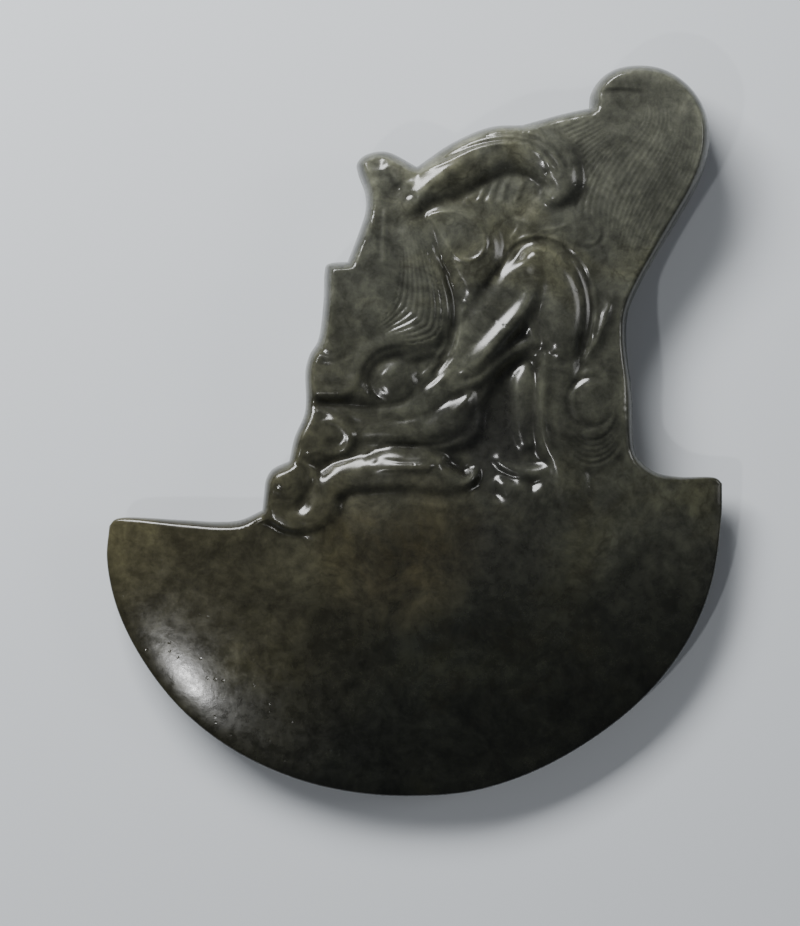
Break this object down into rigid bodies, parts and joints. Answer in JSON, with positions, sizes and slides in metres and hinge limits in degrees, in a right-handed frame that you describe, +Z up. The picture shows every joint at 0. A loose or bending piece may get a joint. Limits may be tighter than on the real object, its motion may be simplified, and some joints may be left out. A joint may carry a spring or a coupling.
{
  "type": "carved jade axe head",
  "caption": "Ceremonial axe head carved from dark green jade: a half-moon blade held in the jaws of a horned beast, with a mane that sweeps up to a rolled butt.",
  "frame": {"origin": "on the surface the axe head lies on, under the middle of its outline", "axes": "+Z up, out of the carved front; +Y from the cutting edge to the butt; +X towards the mane"},
  "size_m": [0.1012, 0.12, 0.0147],
  "materials": {
    "jade": "polished, mottled olive and blackish green"
  },
  "bodies": {
    "root": {"axe_head": "jade"}
  },
  "joints": []
}
